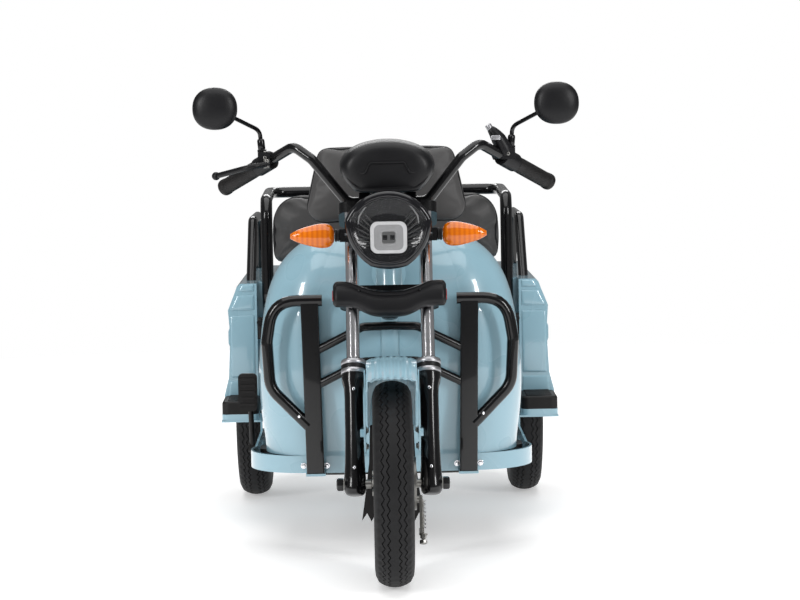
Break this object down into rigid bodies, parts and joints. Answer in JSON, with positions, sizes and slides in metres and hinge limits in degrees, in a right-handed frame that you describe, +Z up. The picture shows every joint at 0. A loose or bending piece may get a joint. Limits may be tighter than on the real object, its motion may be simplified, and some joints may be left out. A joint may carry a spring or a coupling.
{
  "type": "electric_tricycle",
  "caption": "Light blue electric cargo tricycle with a leg shield, front guard tubes, driver seat and a rear tub with a passenger bench.",
  "frame": {"origin": "on the ground under the middle of the overall length and width", "axes": "+Y runs to the rear, +X to the vehicle's left side, +Z up"},
  "size_m": [0.816, 1.876, 1.011],
  "materials": {
    "blue_paint": "gloss light blue paint",
    "black_paint": "gloss black paint on tube",
    "black_plastic": "satin black moulded plastic",
    "gloss_black_plastic": "gloss black housing",
    "vinyl": "dark grey grained vinyl over foam",
    "tyre_rubber": "ribbed road tyre",
    "rubber": "moulded rubber",
    "chrome": "bright chrome",
    "steel": "zinc plated steel",
    "aluminium": "cast aluminium",
    "amber_lens": "amber lens",
    "clear_lens": "clear lens",
    "red_lens": "red lens",
    "mirror": "silvered mirror"
  },
  "bodies": {
    "chassis": {"backrest_rail": "black_paint", "battery_block": "black_plastic", "bench_cushion": "vinyl", "brake_pedal": "rubber", "cargo_tub": "blue_paint", "chassis_frame": "black_paint", "driver_backrest": "vinyl", "floor_belt": "blue_paint", "floor_pan": "black_paint", "front_guard": "black_paint", "inner_shield": "black_plastic", "leg_shield": "blue_paint", "passenger_backrest": "vinyl", "rear_axle": "black_paint", "rear_fenders": "blue_paint", "rear_springs": "black_paint", "rubber_mats": "rubber", "seat_base": "blue_paint", "side_rails": "black_paint", "tail_lamps": "red_lens"},
    "steering": {"fork_legs": "black_paint", "fork_stanchions": "chrome", "steering_clamps": "black_paint", "clamp_cover": "black_plastic", "headlamp_housing": "gloss_black_plastic", "headlamp_lens": "clear_lens", "instrument_cowl": "black_plastic", "handlebar": "black_paint", "grips": "rubber", "hand_controls": "black_plastic", "mirrors": "black_plastic", "mirror_stems": "black_paint", "turn_signals": "amber_lens", "front_fender": "blue_paint", "mudflap": "rubber", "front_axle": "steel"},
    "front_wheel": {"front_tyre": "tyre_rubber", "front_rim": "black_paint"},
    "rear_wheel_left": {"rear_tyre_left": "tyre_rubber", "rear_rim_left": "black_paint"},
    "rear_wheel_right": {"rear_tyre_right": "tyre_rubber", "rear_rim_right": "black_paint"},
    "tailgate": {"tailgate": "blue_paint"},
    "driver_seat": {"driver_seat": "vinyl"}
  },
  "joints": [
    {"name": "steering_turn", "type": "hinge", "parent": "chassis", "child": "steering", "pos_m": [0, -0.48959, 0.63733], "axis": [0, 0.4067, 0.9135], "range_deg": [-38, 38]},
    {"name": "front_wheel_spin", "type": "hinge", "parent": "steering", "child": "front_wheel", "pos_m": [0, -0.73, 0.208], "axis": [1, 0, 0], "continuous": true},
    {"name": "rear_wheel_left_spin", "type": "hinge", "parent": "chassis", "child": "rear_wheel_left", "pos_m": [0.336, 0.54, 0.208], "axis": [1, 0, 0], "continuous": true},
    {"name": "rear_wheel_right_spin", "type": "hinge", "parent": "chassis", "child": "rear_wheel_right", "pos_m": [-0.336, 0.54, 0.208], "axis": [1, 0, 0], "continuous": true},
    {"name": "tailgate_drop", "type": "hinge", "parent": "chassis", "child": "tailgate", "pos_m": [0, 0.913, 0.336], "axis": [1, 0, 0], "range_deg": [-90, 0]},
    {"name": "driver_seat_lift", "type": "hinge", "parent": "chassis", "child": "driver_seat", "pos_m": [0, -0.139, 0.549], "axis": [1, 0, 0], "range_deg": [0, 75]}
  ]
}
